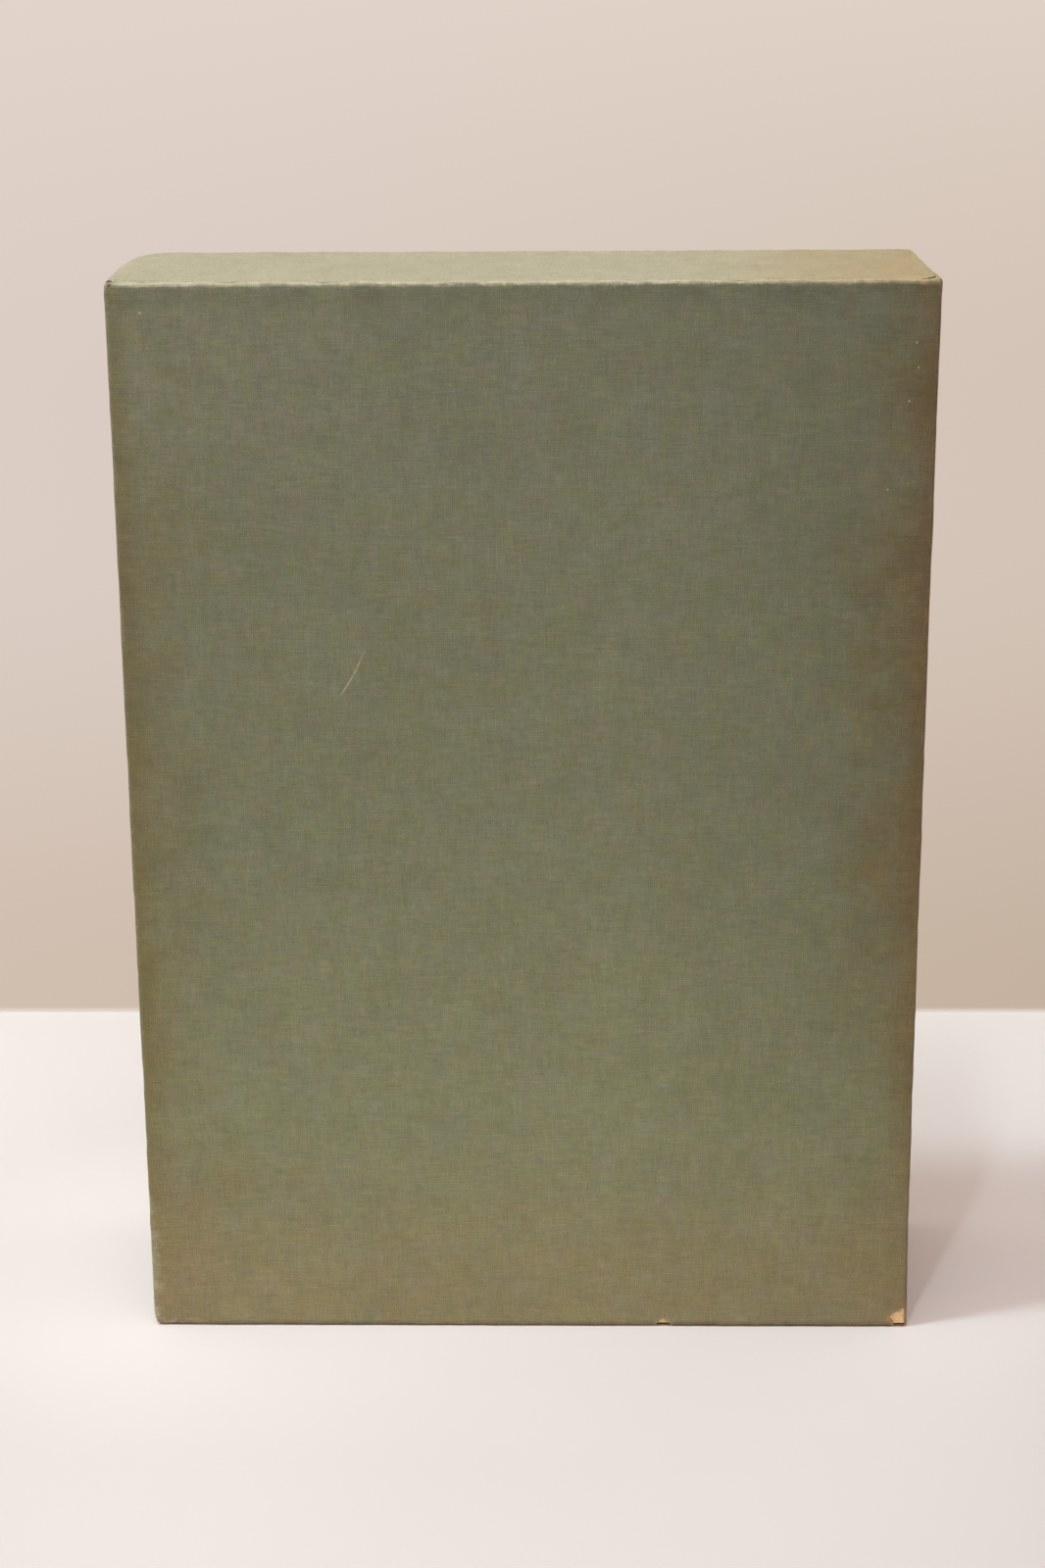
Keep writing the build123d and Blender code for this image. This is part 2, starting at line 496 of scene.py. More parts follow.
def tear_wrap(square, quads):
    """The wrap with ragged tears, which of its points are torn, and how near each is to a tear."""
    pairs = rim_of(quads)
    on_front = square[:, 1] < -half_depth + TOUCHING
    torn = np.isin(np.arange(len(square)), pairs) & on_front
    torn &= (square[:, 2] < tear_reach) & (square[:, 0] > 0)
    square = ease_rim(square, pairs, torn)
    ragged = ragged_depth * np.column_stack([ripple(square, ragged_length, seed) for seed in (3, 4, 5)])
    square = square + ragged * torn[:, None] * [1, 0, 1]
    return square, torn, rim_wear(square, pairs[torn[pairs].all(1)])


def wrap_lumps(square, wear, rim, at_end, past_strip):
    """How far the cloth of the wrap stands out: lumpy folds, curled tears and sunk mitres."""
    x, y, z = square.T
    front_top = smooth((z - height + 10) / 8) * (y < 3 - half_depth) * smooth((half_width - np.abs(x)) / 4)
    size_of_lumps = fold_lumps + (top_fold_lumps - fold_lumps) * front_top
    lumps = size_of_lumps * (0.8 * ripple(square, long_lump, 11) + 0.5 * ripple(square, short_lump, 13))
    lumps = lumps * smooth(1 - wear[:, 0] / lumps_reach)
    lumps += faint_wave * ripple(square, faint_wave_length, 12)
    covered = at_end & (past_strip < -0.5)
    lumps = np.where(covered, 0, lumps + 0.1 * rim)
    from_mitre = np.abs(half_width - x - half_depth + np.abs(y))
    return lumps - mitre_depth * smooth(1 - from_mitre / mitre_half_width) * at_end


def wrap_size():
    """The flat size of the wrap and its flat area, in metres."""
    round_the_case = 4 * edge_x + 2 * edge_y + 2 * (lip + turn_in_mouth)
    up_the_case = 2 * (edge_z + turn_in_outside)
    cut_at_mouth = 4 * (lip + turn_in_mouth) * (turn_in_outside + lined_z0 - cloth_thickness)
    cut_at_mitres = 4 * turn_in_outside**2
    area = round_the_case * up_the_case - cut_at_mouth - cut_at_mitres
    return (round_the_case * MM, up_the_case * MM), area * MM * MM


def side_cloth(materials):
    """The wrap: front, closed side and back, its edges turned over and in, torn at one corner."""
    square, quads, threads = wrap_skin()
    square, torn, rim = tear_wrap(square, quads)
    points, out = round_box(square, wrap_low, wrap_high, fold_radius)
    for side in (-1, 1):
        points = round_edge(points, (0, 1), (-half_width, side * mouth_y), (1, side), mouth_fold_radius)
    wear = wear_of(square, wrap_low, wrap_high, rim)
    x, y, z = square.T
    from_lip = np.maximum(x + half_width, np.abs(np.abs(y) - mouth_y))
    wear[:, 0] = np.minimum(wear[:, 0], from_lip)

    # Lumps, and the folds that stand out beside the strips
    from_end = np.minimum(z - wrap_low[2], wrap_high[2] - z)
    past_strip = np.maximum(np.abs(y) - strip_y, x - strip_x1)
    points = points + out * wrap_lumps(square, wear, rim, from_end < TOUCHING, past_strip)[:, None]
    swell = np.where(z > middle, fold_swell, -foot_swell)
    points[:, 2] += swell * smooth((past_strip + 0.2) / 0.5) * smooth(1 - from_end / 1.5)
    points = settle(points)
    points[:, 2] = np.maximum(points[:, 2], 0)

    # The cloth has frayed thin where it is torn
    body = np.round(1 - (1 - left_at_tear) * smooth((rim - 0.3) / 0.6), 2)
    points[:, 1] += (1 - body) * cloth_thickness
    piece = cloth_piece("side_cloth", points, quads, threads, wear, body, materials)
    return piece, *wrap_size(), points[torn]


def strip_skin(face, hook, end):
    """A strip with sharp folds: over the case, down the edge of its board, and in at the mouth."""
    hook_y = mouth_y - sheet_gap
    fold_y = inner_y - sheet_gap
    mid_wall = (face + hook) / 2
    wall = abs(face - hook)
    to_edge = run(strip_reach / 2, strip_reach / 2)
    edge = stations(0, (0.6, 0.2), (strip_y - fold_y, 0.3), (strip_y - hook_y, 0.3), (6.0, 0.9))
    between = stations(edge[-1] - strip_y, (strip_y - edge[-1], front_cell))
    ys = np.concatenate([edge - strip_y, between[1:-1], strip_y - edge[::-1]])
    xs = stations(
        -half_width, (fold_radius - half_width, fold_cell), (neck_x, edge_cell),
        (tear_reach - half_width, 1.0), (strip_x1 - 8.0, 1.5), (strip_x1 - 2.0, 0.8), (strip_x1, 0.3),
    )
    zs = stations(min(face, hook), (mid_wall, 0.28), (max(face, hook), 0.28))

    skin = Skin()
    skin.panel(
        2, face, xs, ys, end,
        lambda x, y, z: (run(x - (strip_x1 - strip_reach / 2), strip_reach / 2), y),
        lambda p: (np.abs(p[:, 1]) < fold_y) | (p[:, 0] > neck_x),
    )
    skin.panel(
        0, -half_width, ys, zs, -1,
        lambda x, y, z: (-to_edge - np.abs(z - face), y),
        lambda p: np.abs(p[:, 1]) < np.where(np.abs(p[:, 2] - face) > wall / 2, hook_y, fold_y),
    )
    skin.panel(
        2, hook, hook_x, ys, -end,
        lambda x, y, z: (-to_edge - wall - (x + half_width), y),
        lambda p: np.abs(p[:, 1]) < hook_y,
    )
    return skin.gather()


def wandering(square, end):
    """A strip whose raw edges wander, and draw back from the front near the closed side."""
    x, y, _ = square.T
    square = square.copy()
    along_edge = square * [1, 0, 0]
    beside = smooth((np.abs(y) - (strip_y - 4)) / 4)
    wander = wander_size * ripple(along_edge, wander_length, 21 + end)
    wander += fine_wander_size * ripple(along_edge, fine_wander_length, 23 + end)
    wander += drawn_back * smooth((x - drawn_back_start) / 10) * (y < 0)
    square[:, 1] -= np.sign(y) * beside * wander * (x > neck_x - 0.1)
    at_closed = smooth((x - (strip_x1 - 5)) / 5)
    square[:, 0] += at_closed * (0.25 * ripple(square * [0, 1, 0], 14, 25 + end) - 0.2)
    return square


def strip_cloth(name, end, materials):
    """A strip over the top or the bottom: end is 1 for the top one and -1 for the bottom one."""
    face = middle + end * middle
    hook = middle + end * (strip_low[2] - middle)
    square, quads, threads = strip_skin(face, hook, end)
    lifted = smooth((square[:, 0] - lift_start) / 4) * (square[:, 1] < 0)
    square = wandering(square, end)
    pairs = rim_of(quads)
    rim = rim_wear(square, pairs)

    low = np.array([-half_width, -1e3, min(face, hook)])
    high = np.array([1e3, 1e3, max(face, hook)])
    wear = wear_of(square, low, high, 0.5 * rim)
    points = round_edge(square, (0, 2), (-half_width, face), (1, -end), fold_radius)
    points = round_edge(points, (0, 2), (-half_width, hook), (1, end), mouth_fold_radius)

    # Pasted down and rubbed, the raw edges are thin, apart from where they have lifted
    on_face = np.abs(square[:, 2] - face) < TOUCHING
    pasted = on_face * smooth((square[:, 0] - neck_x) / 1.5) * (1 - 0.8 * lifted)
    body = np.round(1 - (1 - left_at_strip_edge) * smooth(rim * 1.2) * pasted, 2)
    points[:, 2] -= end * (1 - body) * cloth_thickness
    if end > 0:
        lift = lift_height * rim * lifted * (1 + ripple(square, 6, 31)) + 0.03 * ripple(square, 20, 33)
        points[:, 2] += on_face * lift
    points = settle(points)
    if end < 0:
        points[:, 2] = np.maximum(points[:, 2], 0)

    piece = cloth_piece(name, points, quads, threads, wear, body, materials)
    wall = abs(face - hook)
    length = strip_reach + wall + turn_in_mouth - 2 * (2 - math.pi / 2) * fold_radius
    on_rim = np.isin(np.arange(len(square)), pairs)
    raw_edge = points[on_rim & on_face & (lifted > 0.2) & (rim > 0.9)]
    return piece, (2 * strip_y * MM, length * MM), raw_edge


def loose_threads(name, starts, material):
    """Short broken threads. Each start is a place, a direction, a length and a curl."""
    rings = 5
    sides = 4
    radius = 0.045
    random = np.random.default_rng(41)
    points = []
    quads = []
    for place, heading, length, curl in starts:
        heading = np.array(heading, float)
        heading /= np.linalg.norm(heading)
        across = np.cross(heading, random.normal(size=3))
        across /= np.linalg.norm(across)
        third = np.cross(heading, across)
        first = len(points)
        for ring in range(rings):
            t = ring / (rings - 1)
            centre = np.array(place) + length * (t * heading + curl * t * t * across)
            width = radius * (1 - 0.5 * t)
            for side in range(sides):
                turn = 2 * math.pi * side / sides
                points.append(centre + width * (math.cos(turn) * across + math.sin(turn) * third))
        for ring in range(rings - 1):
            for side in range(sides):
                a = first + ring * sides + side
                b = first + ring * sides + (side + 1) % sides
                quads.append((a, b, b + sides, a + sides))
        last = first + (rings - 1) * sides
        quads.append(tuple(range(first, first + sides))[::-1])
        quads.append(tuple(range(last, last + sides)))
    points = np.array(points)
    points[:, 2] = np.maximum(points[:, 2], 0)
    mesh = bpy.data.meshes.new(name)
    mesh.from_pydata((points * MM).tolist(), [], quads)
    mesh.shade_smooth()
    return make_piece(name, mesh, [material])


def frays(edge, count, length, lean, seed):
    """Broken thread ends along a raw edge, leaning about this way."""
    random = np.random.default_rng(seed)
    chosen = edge[random.choice(len(edge), min(count, len(edge)), replace=False)]
    starts = []
    for place in chosen:
        heading = np.array(lean) + random.normal(size=3) * [0.7, 0.25, 0.7]
        starts.append((place, heading, length * random.uniform(0.5, 1.3), random.uniform(-0.5, 0.5)))
    return starts


# Where the stiff layers are cut into small faces, closer near the ends, where the case has bent
from_mouth = (2, 5, 8)
from_closed = (7, 3)
from_face = (1.5, 4.5, 7.5, 14.5, 24.5)
from_end = (1.5, 3.0, 5.0, 8.0)
cuts = (
    [*(d - half_width for d in from_mouth), *range(-90, 100, 12), *(half_width - d for d in from_closed)],
    [*(d - half_depth for d in from_face), 0, *(half_depth - d for d in from_face)],
    [*from_end, *range(20, 280, 12), *(height - d for d in from_end)],
)


def settled_copy(node, slot, material):
    """A stiff layer of the case, cut into small faces and bowed as the case is."""
    mesh = bpy.data.meshes.new(node)
    shape = bmesh.new()
    shape.from_mesh(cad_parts[node].data)
    bmesh.ops.remove_doubles(shape, verts=shape.verts, dist=1e-6)
    for axis, places in enumerate(cuts):
        across = Vector((0, 0, 0))
        across[axis] = 1
        for place in places:
            everything = shape.verts[:] + shape.edges[:] + shape.faces[:]
            bmesh.ops.bisect_plane(
                shape, geom=everything, dist=1e-7, plane_co=across * place * MM, plane_no=across
            )
    bmesh.ops.triangulate(shape, faces=[f for f in shape.faces if len(f.verts) > 4])
    shape.to_mesh(mesh)
    shape.free()
    places = np.empty(3 * len(mesh.vertices))
    mesh.vertices.foreach_get("co", places)
    mesh.vertices.foreach_set("co", (settle(places.reshape(-1, 3) / MM) * MM).ravel())
    mesh.shade_smooth()
    mesh.set_sharp_from_angle(angle=math.radians(35))
    piece = make_piece(f"{node}_worn", mesh, [material])
    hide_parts(node)


def srgb(*values):
    """A colour from its 0 to 255 screen values, none of them near black."""
    return (*(((value / 255 + 0.055) / 1.055) ** 2.4 for value in values), 1)


class Shader:
    """A material and the nodes that make it."""

    def __init__(self, name, roughness, specular):
        self.material = bpy.data.materials.new(name)
        self.material.use_nodes = True
        self.tree = self.material.node_tree
        self.surface = self.tree.nodes["Principled BSDF"]
        self.surface.inputs["Roughness"].default_value = roughness
        self.surface.inputs["Specular IOR Level"].default_value = specular
        # Where a point is in the case's frame, in millimetres
        self.where = self.vector("MULTIPLY", self.node("ShaderNodeTexCoord", out=3), (1 / MM,) * 3)
        self.x, self.y, self.z = self.split(self.where)

    def node(self, kind, *values, out=0, **settings):
        """A node with these settings and its inputs filled in order."""
        made = self.tree.nodes.new(kind)
        for name, value in settings.items():
            setattr(made, name, value)
        for socket, value in zip(made.inputs, values):
            if isinstance(value, bpy.types.NodeSocket):
                self.tree.links.new(value, socket)
            elif value is not None:
                socket.default_value = value
        return made.outputs[out]

    def math(self, operation, *values):
        return self.node("ShaderNodeMath", *values, operation=operation)

    def times(self, first, *others):
        for other in others:
            first = self.math("MULTIPLY", first, other)
        return first

    def most(self, first, *others):
        for other in others:
            first = self.math("MAXIMUM", first, other)
        return first

    def minus(self, first, second):
        return self.math("SUBTRACT", first, second)

    def vector(self, operation, *values, out=0):
        return self.node("ShaderNodeVectorMath", *values, operation=operation, out=out)

    def band(self, value, start, end, low=0, high=1):
        """A smooth step of value from start to end."""
        return self.node("ShaderNodeMapRange", value, start, end, low, high, interpolation_type="SMOOTHSTEP")

    def vary(self, value, by):
        """Noise, which keeps near the middle of its range, stretched this far to each side of 1."""
        return self.node("ShaderNodeMapRange", value, 0.25, 0.75, 1 - by, 1 + by)

    def mix(self, share, first, second):
        """Two colours mixed by a share."""
        return self.node(
            "ShaderNodeMix", share, None, None, None, None, None, first, second, data_type="RGBA", out=2
        )

    def cover(self, colour, other, *shares):
        """A colour covered by another, as far as these shares multiplied say."""
        return self.mix(self.times(*shares), colour, other)

    def tint(self, colour, by, *shares):
        """A colour multiplied by another, as far as these shares multiplied say."""
        return self.vector("MULTIPLY", colour, self.mix(self.times(*shares), (1, 1, 1, 1), (*by, 1)))

    def split(self, vector):
        """The three parts of a vector."""
        return self.node("ShaderNodeSeparateXYZ", vector).node.outputs

    def noise(self, size, detail=2, roughness=0.5, stretch=(1, 1, 1), offset=0, on=None):
        """Noise with patches about this many millimetres across, longer along a stretched axis."""
        place = self.where if on is None else on
        scale = tuple(1 / (size * s) for s in stretch)
        scaled = self.node("ShaderNodeVectorMath", place, scale, (offset,) * 3, operation="MULTIPLY_ADD")
        return self.node("ShaderNodeTexNoise", scaled, None, 1, detail, roughness)

    def attribute(self, name):
        return self.node("ShaderNodeAttribute", attribute_name=name, attribute_type="GEOMETRY", out=1)

    def bump(self, height, depth, normal=None):
        """Relief of a height from 0 to 1 that is this many millimetres deep."""
        return self.node("ShaderNodeBump", 1, depth * MM, None, height, normal)

    def finish(self, colour, normal=None):
        self.tree.links.new(colour, self.surface.inputs["Base Color"])
        if normal is not None:
            self.tree.links.new(normal, self.surface.inputs["Normal"])
        return self.material


# Thread pitch of the book cloth
thread_pitch = 0.52

# A curved scratch on the front: the centre of its arc as x and z, its radius, and its ends as z
scratch_centre = (-86.0, 211.0)
scratch_radius = 47.2
scratch_ends = (182.0, 196.5)

# Small pale specks and dark flecks, as places on the worn case and radii
pale_specks = [
    ((-96, -34.5, 282.5), 0.55), ((98.9, -34.5, 274.3), 0.4), ((97.5, -34.5, 259.5), 0.4),
    ((92.7, -34.5, 236.9), 0.35), ((99.5, -34.5, 268), 0.35),
]
dark_flecks = [
    ((-10.5, -26.7, 290), 0.45), ((-6, -26.9, 290), 0.4), ((14.6, -26.1, 290), 0.4),
    ((18.6, -25.3, 290), 0.35), ((-103.5, -34.2, 289.4), 0.8), ((-102.3, -30.5, 290.2), 0.4),
    ((103.7, -33.4, 289.9), 0.5), ((104.4, -33.9, 289.6), 0.5),
]


class BookCloth(Shader):
    """The material of the book cloth, and the places and patterns that its parts share."""

    def __init__(self):
        super().__init__("book_cloth", 0.82, 0.35)
        self.surface.inputs["Sheen Weight"].default_value = 0.12
        self.surface.inputs["Sheen Roughness"].default_value = 0.45
        self.cloth = self.attribute("weave")
        self.from_fold, self.from_corner, self.torn = self.split(self.attribute("wear"))
        _, _, self.up = self.split(self.node("ShaderNodeNewGeometry", out=1))
        border = self.noise(26, 5, 0.65, offset=9)
        self.unevenness = self.times(self.minus(border, 0.5), 70)
        self.uneven_x = self.math("ADD", self.x, self.unevenness)
        self.rubbing = self.band(self.noise(4, 3, 0.65, offset=5), 0.3, 0.6)


def thread_height(s, across, other, side):
    """The round of a thread where it lies over the ones that it crosses, and 0 where under."""
    over = s.math("MULTIPLY_ADD", s.times(s.math("SIGN", across), other), side, 0.5)
    return s.times(s.math("ABSOLUTE", across), over)


def thread_tone(s, thread, along, seed):
    """A tone that differs from thread to thread and changes slowly along each."""
    number = s.math("FLOOR", thread)
    spot = s.node("ShaderNodeCombineXYZ", s.times(number, 7.31), s.times(along, 0.09), seed)
    return s.node("ShaderNodeTexNoise", spot, None, 1, 1, 0.5)


def weave(s):
    """The relief of a plain weave, and the tone of the thread that is uppermost."""
    skew = s.times(s.minus(s.noise(60, 1, on=s.cloth), 0.5), 3)
    u, v, _ = s.split(s.cloth)
    warp = s.math("DIVIDE", s.math("ADD", u, skew), thread_pitch)
    weft = s.math("DIVIDE", s.minus(v, skew), thread_pitch)
    across_warp = s.math("SINE", s.times(warp, math.pi))
    across_weft = s.math("SINE", s.times(weft, math.pi))
    warp_height = thread_height(s, across_warp, across_weft, 0.5)
    weft_height = thread_height(s, across_weft, across_warp, -0.5)
    on_warp = s.math("GREATER_THAN", warp_height, weft_height)
    tones = thread_tone(s, weft, warp, 5), thread_tone(s, warp, weft, 1)
    tone = s.node("ShaderNodeMix", on_warp, None, *tones, data_type="FLOAT")
    return s.most(warp_height, weft_height), tone


def dye_and_painted_bounce(s):
    """Grey-green, duller at the top and lighter lower down as painted light thrown up from the table, with
    small bluish, olive and violet-brown clouds.
    """
    # Painted light: lighter towards the foot, standing in for the light that the table throws up onto the
    # cloth.
    painted_table_bounce = s.node("ShaderNodeMapRange", s.z, height, 30, 0, 0.55)
    painted_table_bounce = s.math("ADD", painted_table_bounce, s.band(s.z, 165, 45, 0, 0.45))
    bluish = s.mix(painted_table_bounce, srgb(125, 130, 109.5), srgb(138, 143, 113))
    olive = s.mix(painted_table_bounce, srgb(125, 130, 102.5), srgb(138, 143, 106))
    patches = s.band(s.noise(6.5, 3, 0.6), 0.38, 0.62)
    clouds = s.band(s.noise(5.5, 4, 0.65, offset=3), 0.45, 0.7)
    colour = s.tint(s.mix(patches, bluish, olive), (1.055, 0.967, 1), clouds)
    return s.tint(colour, (1, 1.003, 0.97), s.band(s.z, 245, 185), s.band(s.z, 40, 100))


def shade_and_browning(s, colour):
    """Darker towards the closed side as painted shade, and browner towards the closed side and the mouth,
    most of all at their edges.
    """
    # Painted shade: plainly darker towards the closed side, away from the light on the mouth's side.
    colour = s.tint(colour, (0.825, 0.82, 0.815), s.band(s.x, 10, 105), s.band(s.z, 20, 130, 0.6, 1))
    less_below = s.band(s.z, 40, 140, 0.36, 1)
    colour = s.tint(colour, (1, 0.765, 0.64), s.band(s.uneven_x, 76, 106), less_below)
    less_at_ends = s.times(s.band(s.z, 290, 200), s.band(s.z, 5, 45, 0.45, 1))
    colour = s.tint(colour, (1, 0.885, 0.81), s.band(s.uneven_x, -80, -106), less_at_ends)
    less_at_ends = s.times(s.band(s.z, 288, 250, 0.2, 1), s.band(s.z, 15, 70, 0.25, 1))
    colour = s.tint(colour, (0.95, 0.84, 0.77), s.band(s.x, 96, 104), less_at_ends)
    return s.tint(colour, (0.94, 0.86, 0.73), s.band(s.x, -97, -104), s.band(s.z, 15, 90, 0.3, 1))


def patchy(s, colour):
    """Paler at one corner, blotched towards the sides, and browner at the foot."""
    corner = (-half_width, -half_depth, height)
    from_pale_corner = s.vector("DISTANCE", s.where, corner, out=1)
    colour = s.tint(colour, (1.14, 1.11, 1.11), s.band(from_pale_corner, 100, 10))
    blotches = s.band(s.noise(13, 3, 0.6, offset=15), 0.5, 0.68)
    at_sides = s.band(s.math("ABSOLUTE", s.x), 55, 98)
    colour = s.tint(colour, (0.91, 0.92, 0.87), blotches, at_sides, s.band(s.z, 10, 70, 0.2, 1))
    foot = s.band(s.math("MULTIPLY_ADD", s.unevenness, 0.5, s.z), 68, 6)
    return s.tint(colour, (1.115, 0.935, 0.87), foot)


def painted_top_light_and_tan(s, colour):
    """Paler where the cloth faces up, as painted light from above, and tanned at the closed end of the top.
    """
    border = s.minus(s.noise(3, 3, 0.65, offset=29), 0.5)
    facing_up = s.band(s.math("MULTIPLY_ADD", border, 1.2, s.up), 0.25, 0.85)
    pale = s.mix(s.band(s.uneven_x, 30, 104), srgb(158, 154, 130), srgb(156, 140, 104))
    # Painted light: the upward faces get a paler colour for the light that falls on them from above. The tan
    # towards the closed end is the cloth's own.
    return s.cover(colour, pale, facing_up, s.math("GREATER_THAN", s.z, middle), 0.9)


def rubbed(s, colour):
    """Rubbed paler at the folds, most along the top, at corners and low down at the mouth."""
    low_at_mouth = s.times(s.band(s.x, -85, -100), s.band(s.z, 45, 25))
    reach = s.math("ADD", s.band(s.up, 0.1, 0.7, 1.2, 2.8), s.times(low_at_mouth, 1.8))
    ragged = s.band(s.noise(3, 3, 0.65, offset=25), 0.3, 0.7, 0.55, 1.45)
    near_fold = s.band(s.math("DIVIDE", s.from_fold, s.times(reach, ragged)), 1, 0.15)
    from_side = s.minus(half_depth, s.math("ABSOLUTE", s.y))
    most_rubbed = s.most(
        s.times(s.band(s.z, height - 3, height - 1), s.band(from_side, 5, 2.5), 0.42),
        s.times(s.band(s.from_corner, 9, 1), 0.3),
        s.times(low_at_mouth, 0.4),
    )
    threads = s.noise(0.9, 3, 0.7, stretch=(3, 1, 1), offset=27, on=s.cloth)
    bare_threads = s.band(threads, 0.35, 0.6, 0.4, 1.3)
    pale = s.mix(s.band(s.x, 50, 104), srgb(186, 180, 154), srgb(168, 150, 114))
    return s.cover(colour, pale, near_fold, s.rubbing, bare_threads, s.math("ADD", most_rubbed, 0.22))


def worn(s, colour):
    """Dull below the top folds, brown down the closed edge with painted shade where it turns, darker at the
    foot with grime and a painted contact shadow, frayed at tears.
    """
    below_fold = s.band(s.z, height - 9, height - 3)
    colour = s.tint(colour, (0.9, 0.9, 0.9), below_fold, s.band(s.up, 0.3, 0), s.rubbing)
    # Partly wear and partly painted shade: the brown down the closed edge is the worn fold together with the
    # shade where that fold turns away from the light.
    closed_edge_wear_and_shade = s.band(s.x, half_width - 1.3, half_width - 0.2)
    colour = s.cover(colour, srgb(118, 88, 64), closed_edge_wear_and_shade, s.band(s.z, 287, 284), 0.6)
    # Darker at the foot: grime, with painted shade for the contact shadow along the table. The lowest
    # millimetre is painted shade only.
    colour = s.tint(colour, (0.68, 0.56, 0.5), s.band(s.z, 2.2, 0.6), s.band(s.rubbing, 1, 0, 0.6, 1))
    colour = s.tint(colour, (0.72, 0.62, 0.58), s.band(s.z, 0.9, 0.4))
    return s.cover(colour, srgb(182, 158, 118), s.torn, s.torn, 0.6)


def lightness(s, relief, tone):
    """Painted shade in the gaps between threads and a painted highlight on their tops, single threads,
    slubs, fuzz, small stains and faint streaks.
    """
    slubs = s.noise(0.55, 2, 0.6, stretch=(7, 1, 1), offset=11, on=s.cloth)
    fuzz = s.noise(0.8, 3, 0.75, on=s.cloth)
    stains = s.noise(2.6, 4, 0.7, offset=13)
    mottling = s.noise(9, 2, 0.6, offset=17)
    drifting = s.noise(30, 2, 0.6, offset=19)
    upright = s.noise(2.4, 2, 0.6, stretch=(1, 9, 1), offset=21, on=s.cloth)
    level = s.noise(2.4, 2, 0.6, stretch=(9, 1, 1), offset=23, on=s.cloth)
    # The first factor is painted shade and highlight: darker where the weave sinks between threads, lighter
    # on the thread tops.
    return s.times(
        s.band(relief, 0, 0.75, 0.8, 1.07), s.vary(tone, 0.14), s.vary(slubs, 0.07),
        s.vary(fuzz, 0.1), s.vary(stains, 0.08), s.vary(mottling, 0.055), s.vary(drifting, 0.035),
        s.vary(upright, 0.03), s.vary(level, 0.03),
    )


def spots(s, marks):
    """1 inside small spots and 0 outside them."""
    found = 0
    for centre, radius in marks:
        away = s.vector("DISTANCE", s.where, centre, out=1)
        found = s.most(s.band(away, radius, radius * 0.5), found)
    return found


def scratch(s):
    """1 along the curved scratch and 0 elsewhere, broken up by the weave."""
    centre_x, centre_z = scratch_centre
    low, high = scratch_ends
    flat = s.node("ShaderNodeCombineXYZ", s.x, 0, s.z)
    from_centre = s.vector("DISTANCE", flat, (centre_x, 0, centre_z), out=1)
    off_line = s.math("ABSOLUTE", s.minus(from_centre, scratch_radius))
    line = s.times(s.band(off_line, 0.34, 0.12), s.band(s.z, low, low + 2), s.band(s.z, high, high - 6))
    to_the_right = s.math("GREATER_THAN", s.x, centre_x)
    on_front = s.math("LESS_THAN", s.y, 2 - half_depth)
    return s.times(line, to_the_right, on_front, s.band(s.noise(0.8, 2, on=flat), 0.3, 0.5))


def book_cloth():
    """Faded grey-green book cloth, mottled, browner towards its edges and rubbed at its folds, with painted
    light and shade: lighter low down and where it faces up, darker towards the closed side, along the foot
    and in the gaps of the weave.
    """
    s = BookCloth()
    relief, tone = weave(s)
    colour = dye_and_painted_bounce(s)
    for change in (shade_and_browning, patchy, painted_top_light_and_tan, rubbed, worn):
        colour = change(s, colour)
    colour = s.vector("SCALE", colour, None, None, lightness(s, relief, tone))
    colour = s.cover(colour, srgb(196, 192, 170), scratch(s), 0.55)
    colour = s.cover(colour, srgb(190, 186, 168), spots(s, pale_specks), 0.6)
    colour = s.cover(colour, srgb(70, 64, 48), spots(s, dark_flecks), 0.75)
    slack = s.noise(6, 2, 0.6, on=s.cloth)
    return s.finish(colour, s.bump(slack, 0.08, s.bump(relief, 0.07)))


def broken_ends(name, size, dark, pale, depth):
    """Broken thread ends, browner than the face of the cloth."""
    s = Shader(name, 0.95, 0.2)
    ends = s.noise(size, 2, 0.7)
    return s.finish(s.mix(s.band(ends, 0.35, 0.65), dark, pale), s.bump(ends, depth))


def tan_board():
    """Raw binder's board: tan, with darker and paler fibres."""
    s = Shader("binders_board", 0.9, 0.25)
    fibres = s.noise(1.6, 4, 0.7, stretch=(3, 1, 1))
    flecks = s.band(s.noise(0.6, 2, 0.6, offset=4), 0.62, 0.75)
    colour = s.mix(s.band(fibres, 0.3, 0.7), srgb(222, 178, 128), srgb(238, 198, 150))
    colour = s.cover(colour, srgb(160, 118, 80), flecks, 0.5)
    return s.finish(colour, s.bump(fibres, 0.1))


def brown_paper():
    """Gummed kraft paper, with faint lines along its length and its own fibres."""
    s = Shader("kraft_stay_paper", 0.85, 0.3)
    lines = s.noise(0.8, 3, 0.6, stretch=(12, 1, 1))
    fibres = s.noise(0.7, 4, 0.75, stretch=(2, 1, 1), offset=6)
    colour = s.mix(s.band(lines, 0.3, 0.7), srgb(234, 193, 138), srgb(243, 208, 158))
    colour = s.cover(colour, srgb(206, 154, 104), s.band(fibres, 0.52, 0.74, 0, 0.35))
    return s.finish(colour, s.bump(fibres, 0.06, s.bump(lines, 0.04)))


